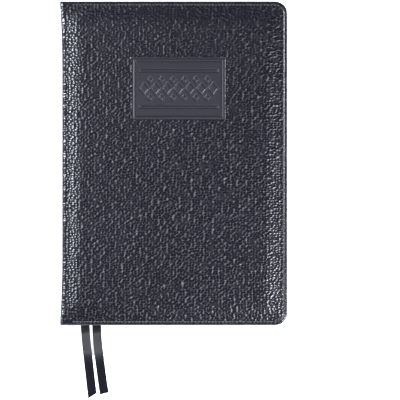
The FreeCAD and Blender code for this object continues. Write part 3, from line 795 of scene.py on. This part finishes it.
def build_case(back):
    """Half of the leather case: one cover's skin, its joint and its half of the spine, in one sheet."""
    columns = case_columns(MIDDLE, not back)
    rows = case_rows(not back)
    points = [case_point(c, y, COVER_CORNER, None, back) for y in rows for c in columns]
    faces = strip_faces(len(rows), len(columns))
    rings = [ring(columns, rows, inset, None, back) for inset in RIM_INSETS]
    rings += [ring(columns, rows, inset, under, back) for inset, under in RIM_UNDER]
    rings.append(ring(columns, rows, TURN_IN, COVER_INSIDE, back))
    start = len(points)
    for one in rings:
        points += one
    faces += strip_faces(len(rings), len(rings[0]), start)
    name = "case_leather_back" if back else "case_leather_front"
    made = piece(name, points, faces, LEATHER, PRESSED)
    weld(made)
    face_outwards(made, back)
    if not back:
        press_panel(made)
    made.data.shade_smooth()
    made.data.set_sharp_from_angle(angle=math.radians(38))
    mark_rest(made)
    lay_grain(made)
    if back:
        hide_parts("back_leather", "back_padding")
        start, end = (SPINE_X + 1.0, 0, BACK_HIGH.z - 1.2), (SPINE_X, 0, BACK_HIGH.z + 0.5)
        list(scaled(start, end))
        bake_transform(made)
    else:
        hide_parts("front_leather", "front_padding", "spine_leather")
        start, end = (SPINE_X, 0, COVER_LOW.z - 0.5), (SPINE_X + 1.0, 0, COVER_LOW.z + 1.2)
        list(scaled(start, end))
        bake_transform(made)


def face_outwards(made, back):
    """Turns the sheet so that the cover's middle faces outwards."""
    mesh = made.data
    best = max(mesh.polygons, key=lambda face: face.area)
    outwards = -1.0 if back else 1.0
    if best.normal.z * outwards < 0:
        mesh.flip_normals()


def press_panel(made):
    """Gives the pressed finish to the faces inside the plate's outline."""
    cx, cy = panel_centre()
    for face in made.data.polygons:
        x, y = face.center.x / MM - SPINE_X, face.center.y / MM
        inside_x = abs(x - cx) < PANEL["width"] / 2 - 0.02
        inside_y = abs(y - cy) < PANEL["height"] / 2 - 0.02
        if inside_x and inside_y and face.center.z / MM > COVER_HIGH.z - 1:
            face.material_index = 1


# ---------------------------------------------------------------- stitching


def stitch_line():
    """Each stitch's place and direction, along the tail, round the fore-edge and back along the head."""
    half = HALF_HEIGHT - STITCH_INSET
    end, r = COVER_WIDTH - STITCH_INSET, COVER_CORNER - STITCH_INSET
    side = end - r - STITCH_START
    arc = r * math.pi / 2
    fore = 2 * (half - r)
    total = 2 * side + 2 * arc + fore
    count = round(total / STITCH_PITCH) + 1
    for i in range(count):
        far = total * i / (count - 1)
        if far <= side:
            yield STITCH_START + far, -half, 0.0
        elif far <= side + arc:
            turn = (far - side) / r
            yield end - r + r * math.sin(turn), -half + r - r * math.cos(turn), turn
        elif far <= side + arc + fore:
            yield end, -half + r + far - side - arc, math.pi / 2
        elif far <= side + 2 * arc + fore:
            turn = (far - side - arc - fore) / r
            yield end - r + r * math.cos(turn), half - r + r * math.sin(turn), math.pi / 2 + turn
        else:
            yield end - r - (far - side - 2 * arc - fore), half, math.pi


def build_stitches(back):
    """Grains of thread along the groove, each sunk at its ends where it goes through the leather."""
    points, faces = [], []
    around, along = 6, 7
    level = COVER_HIGH.z - PUFF - GROOVE_DEPTH
    for place_x, place_y, turn in stitch_line():
        start = len(points)
        c, s = math.cos(turn + STITCH_SLANT), math.sin(turn + STITCH_SLANT)
        for a in range(along):
            t = a / (along - 1) * 2 - 1
            girth = math.sqrt(max(1 - t * t, 0.0)) ** 0.7 + 0.02
            sink = -0.16 * t * t
            for b in range(around):
                angle = math.tau * b / around
                u, v = t * STITCH_LENGTH / 2, math.cos(angle) * girth * STITCH_WIDTH / 2
                w = math.sin(angle) * girth * 0.26 + sink
                x, y = place_x + u * c - v * s, place_y + u * s + v * c
                points.append(turned((SPINE_X + x, y, level + 0.2 + w), back))
        for a in range(along - 1):
            for b in range(around):
                p, q = start + a * around + b, start + a * around + (b + 1) % around
                faces.append((p, q, q + around, p + around))
    name = "stitching_back" if back else "stitching_front"
    made = piece(name, points, faces, THREAD, smooth_angle=80)
    mark_rest(made)
    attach(made, "back_cover" if back else "front_cover")
    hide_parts("back_stitching" if back else "front_stitching")


# ---------------------------------------------------------------- leaves


def leaf_columns(width, corner):
    """Places across a leaf, close together where it bends at the spine and round its corners."""
    straight = [*LEAF_BENDS, width - corner - 12]
    return straight + [width - corner + corner * math.sin(math.pi / 2 * k / 7) for k in range(8)]


def leaf_half(x, width, height, corner):
    """Half of the leaf's height at a place across it."""
    past = x - (width - corner)
    if past <= 0:
        return height / 2
    return height / 2 - corner + math.sqrt(max(corner**2 - past**2, 0.0))


def settled(x, z):
    """The level of a leaf at a place across it: past the ribbons the two halves of the block close up."""
    closed = min(max((x - CLOSE_FROM) / CLOSE_OVER, 0.0), 1.0)
    closed *= closed * (3 - 2 * closed)
    if z > MIDDLE:
        return z - closed * (SLOT / 2 - 0.01) * (PAGE_TOP - z) / (PAGE_TOP - MIDDLE - SLOT / 2)
    return z + closed * (SLOT / 2 - 0.01) * (z - PAGE_LOW) / (MIDDLE - SLOT / 2 - PAGE_LOW)


def add_leaf(points, faces, kinds, left, width, height, low, high, shift_y=0.0):
    """One leaf as a thin closed slab: its two faces of kind 0, and its cut edges of kind 1."""
    columns = leaf_columns(width, PAGE_CORNER)
    start = len(points)
    for z in (low, high):
        for x in columns:
            half = leaf_half(x, width, height, PAGE_CORNER)
            level = settled(x, z)
            points += [(left + x, shift_y - half, level), (left + x, shift_y + half, level)]
    count = len(columns)
    top = start + 2 * count
    faces += slab_faces(start, count)
    faces += [(start, top, top + 1, start + 1), slab_end(start, count)]
    kinds += [0, 0, 1, 1] * (count - 1) + [1, 1]


def build_section(node, seed):
    """A section as its separate leaves, each cut a hair longer or shorter than the next."""
    low, high = box_mm(node)
    jitter = random.Random(seed)
    points, faces, kinds = [], [], []
    pitch = (high.z - low.z) / SHEETS
    for k in range(SHEETS):
        short = 0.02 + 0.10 * jitter.random()
        bottom = low.z + k * pitch + 0.006
        add_leaf(
            points,
            faces,
            kinds,
            low.x,
            high.x - low.x - short,
            high.y - low.y - 0.08 - 0.12 * jitter.random(),
            bottom,
            bottom + pitch - 0.012,
            shift_y=0.04 * (jitter.random() - 0.5),
        )
    made = piece(node.replace("section", "leaves"), points, faces, PAGE, EDGE)
    made.data.polygons.foreach_set("material_index", kinds)
    mark_rest(made)
    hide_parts(node)
    return made


def bend_leaf(made, body):
    """Bakes the leaf's place into its points."""
    start, end = scaled((PAGE_X + 0.2, 0, PAGE_TOP), (PAGE_X + 11.0, 0, PAGE_TOP))
    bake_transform(made)
    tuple(start)
    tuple(end)


def build_pages():
    """The sections and the two black flyleaves."""
    for i, node in enumerate(MOVING + FIXED):
        made = build_section(node, 11 + i)
        if node in MOVING:
            bend_leaf(made, node + "_leaves")
        else:
            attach(made, "book_block")
    for node, body in (("front_flyleaf", "first_leaf"), ("back_flyleaf", None)):
        low, high = box_mm(node)
        points, faces, kinds = [], [], []
        add_leaf(points, faces, kinds, low.x, high.x - low.x - 0.05, high.y - low.y - 0.1, low.z, high.z)
        made = piece(node + "_sheet", points, faces, ENDPAPER, EDGE)
        made.data.polygons.foreach_set("material_index", kinds)
        mark_rest(made)
        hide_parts(node)
        if body:
            bend_leaf(made, body)
        else:
            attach(made, "book_block")


def build_pastedown(back):
    """The paper pasted inside a cover, which runs on over the joint to the block."""
    node = "back_pastedown" if back else "front_pastedown"
    low, high = box_mm(node)
    width, height = high.x - low.x, high.y - low.y
    thick = high.z - low.z
    top = high.z if not back else TOTAL - low.z
    columns = leaf_columns(width, PAGE_CORNER)
    points = []
    for level in (top - thick, top - 0.01):
        for x in columns:
            half = leaf_half(x, width, height, PAGE_CORNER)
            fall = (0.16 * (1 - x / 0.6)) if x < 0.6 else 0.0
            for y in (-half, half):
                points.append(turned((low.x + x, y, level - fall), back))
    count = len(columns)
    faces = [*slab_faces(0, count), slab_end(0, count)]
    made = piece(node + "_sheet", points, faces, ENDPAPER)
    weld(made)
    mark_rest(made)
    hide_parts(node)
    if back:
        start, end = scaled((PAGE_X + 2.2, 0, BACK_HIGH.z), (PAGE_X, 0, BACK_HIGH.z))
        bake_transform(made)
        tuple(start)
        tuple(end)
    else:
        start, end = scaled((PAGE_X, 0, COVER_LOW.z), (PAGE_X + 2.2, 0, COVER_LOW.z))
        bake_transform(made)
        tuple(start)
        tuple(end)


# ---------------------------------------------------------------- head and tail bands


def build_band(node, end):
    """A band of cloth rolled round a cord, with the slanting ribs of its winding."""
    low, high = box_mm(node)
    x, y = high.x - BAND_INSET, (high.y - BAND_INSET if end > 0 else low.y + BAND_INSET)
    rings, around = 84, 14
    points, faces = [], []
    for i in range(rings):
        t = i / (rings - 1)
        z = low.z + (high.z - low.z) * t
        closing = min(1.0, 14 * t + 0.35, 14 * (1 - t) + 0.35)
        for j in range(around):
            angle = math.tau * j / around
            rib = 1 - 0.10 * (0.5 + 0.5 * math.cos(z * math.tau / BAND_RIB - angle))
            r = BAND_RADIUS * rib * closing
            points.append((x + r * math.cos(angle), y + r * math.sin(angle), z))
    for i in range(rings - 1):
        for j in range(around):
            a, b = i * around + j, i * around + (j + 1) % around
            faces.append((a, b, b + around, a + around))
    faces += [tuple(range(around))[::-1], tuple((rings - 1) * around + j for j in range(around))]
    made = piece(node + "_cord", points, faces, BAND, smooth_angle=70)
    mark_rest(made)
    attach(made, "book_block")
    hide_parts(node)


# ---------------------------------------------------------------- ribbons


def smooth_route(points):
    """The line of a NURBS spline whose control points are the route's, read back as points."""
    curve = bpy.data.curves.new("route", "CURVE")
    curve.dimensions = "3D"
    spline = curve.splines.new("NURBS")
    spline.points.add(len(points) - 1)
    for control, place in zip(spline.points, points):
        control.co = (*place, 1.0)
    spline.order_u = 3
    spline.use_endpoint_u = True
    curve.resolution_u = 24
    holder = bpy.data.objects.new("route", curve)
    bpy.context.scene.collection.objects.link(holder)
    bpy.context.view_layer.update()
    mesh = bpy.data.meshes.new_from_object(holder)
    line = [v.co.copy() for v in mesh.vertices]
    bpy.data.objects.remove(holder)
    bpy.data.meshes.remove(mesh)
    return line


def build_ribbon(node, layer, cut, length, route):
    """A flat satin ribbon: it leaves the leaves at the tail, slopes down and lies on the table."""
    low, high = box_mm(node)
    level = high.z - RIBBON_THICK / 2
    heights = [level if z is None else z + RIBBON_THICK / 2 for _, _, z in route]
    line = smooth_route(scaled(*((SPINE_X + x, y, z) for (x, y, _), z in zip(route, heights))))
    across, parts = 9, []
    half = RIBBON_WIDTH / 2 * MM
    thick = RIBBON_THICK / 2 * MM
    count = len(line)
    for i, place in enumerate(line):
        tangent = (line[min(i + 1, count - 1)] - line[max(i - 1, 0)]).normalized()
        side = tangent.cross(Vector((0, 0, 1))).normalized() * -1
        up = side.cross(tangent).normalized()
        if up.z < 0:
            up = -up
        free = min(max((-place.y / MM - HALF_HEIGHT) / 8.0, 0.0), 1.0)
        near_end = max(0.0, 1.0 - (count - 1 - i) / 10.0)
        for face in (1, -1):
            for j in range(across):
                s = (j / (across - 1)) * 2 - 1
                selvedge = 0.35 if abs(s) > 0.99 else 1.0
                curl = free * 0.00012 * math.sin(place.y / MM * 0.21 + layer * 2.0) * s
                lift = face * thick * selvedge + curl + free * 0.00012
                slant = near_end * near_end * s * cut * MM / 2
                parts.append(place - side * s * half + up * lift - tangent * slant)
    faces = []
    row = 2 * across
    loop = list(range(across)) + [across + j for j in reversed(range(across))]
    for i in range(count - 1):
        for k in range(row):
            a, b = loop[k], loop[(k + 1) % row]
            faces.append((i * row + a, i * row + b, (i + 1) * row + b, (i + 1) * row + a))
    faces += [tuple(loop[::-1]), tuple((count - 1) * row + k for k in loop)]
    made = piece(node + "_satin", [p / MM for p in parts], faces, SATIN, smooth_angle=60)
    mark_rest(made)
    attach(made, "book_block")
    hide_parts(node)
    tuple(line[0])
    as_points(line)


# ---------------------------------------------------------------- CAD pieces that stay


def finish_cad_pieces():
    """Materials for the hidden pieces, which keep their own shapes."""
    kept = {
        "front_board": GREYBOARD,
        "back_board": GREYBOARD,
        "spine_card": GREYBOARD,
        "spine_lining": PAGE,
        "mull": MULL,
        "sewing_tapes": TAPE,
        "sewing_thread": TAPE,
    }
    for node, finish in kept.items():
        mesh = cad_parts[node].data
        mesh.materials.clear()
        mesh.materials.append(finish)
        mark_rest(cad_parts[node])


# ---------------------------------------------------------------- stage, light and camera


def build_stage():
    """A plain floor, just under the book."""
    size = 3000.0
    corners = [(-size, -size, -0.05), (size, -size, -0.05), (size, size, -0.05), (-size, size, -0.05)]
    floor = piece("floor", corners, [(0, 1, 2, 3)], plain_floor())
    floor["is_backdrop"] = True


def area_light(name, place, target, width, height, power, colour):
    """A softbox at a place in metres, turned to its target, with its power in watts."""
    lamp = bpy.data.lights.new(name, "AREA")
    lamp.shape = "RECTANGLE"
    lamp.size, lamp.size_y = width, height
    lamp.energy = power
    lamp.color = colour
    holder = bpy.data.objects.new(name, lamp)
    bpy.context.scene.collection.objects.link(holder)
    holder.location = place
    aim = Vector(target) - Vector(place)
    holder.rotation_mode = "QUATERNION"
    holder.rotation_quaternion = aim.to_track_quat("-Z", "Y")


def build_light():
    """Two softboxes low at the sides, two weak ones, and a dim room that the camera sees as white."""
    for name, facts in SOFTBOXES.items():
        area_light(name, **facts)
    world = bpy.data.worlds.new("studio")
    bpy.context.scene.world = world
    world.use_nodes = True
    tree = world.node_tree
    background = tree.nodes["Background"]
    seen = add(tree, "ShaderNodeLightPath").outputs["Is Camera Ray"]
    link(tree, mixed(tree, seen, (0.086, 0.090, 0.112), (1.0, 1.0, 1.0)), background, "Color")
    bpy.context.scene.view_settings.view_transform = "Standard"


def build_camera():
    """A long lens straight above the front cover, with the book to the left of the middle."""
    seen_width, lens, sensor = 0.2651, 300.0, 36.0
    camera = bpy.data.cameras.new("camera")
    camera.lens = lens
    camera.sensor_width = sensor
    camera.clip_end = 20.0
    holder = bpy.data.objects.new("camera", camera)
    bpy.context.scene.collection.objects.link(holder)
    distance = seen_width * lens / sensor
    holder.location = (0.0171, -0.0243, COVER_HIGH.z * MM + distance)
    bpy.context.scene.camera = holder


build_camera()
for node, facts in RIBBONS.items():
    build_ribbon(node, **facts)
build_case(back=False)
build_case(back=True)
build_stitches(back=False)
build_stitches(back=True)
build_pages()
build_pastedown(back=False)
build_pastedown(back=True)
build_band("head_band", 1)
build_band("tail_band", -1)
finish_cad_pieces()
build_stage()
build_light()

[[list(corner) for corner in box] for box in (CAD_BOX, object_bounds())]
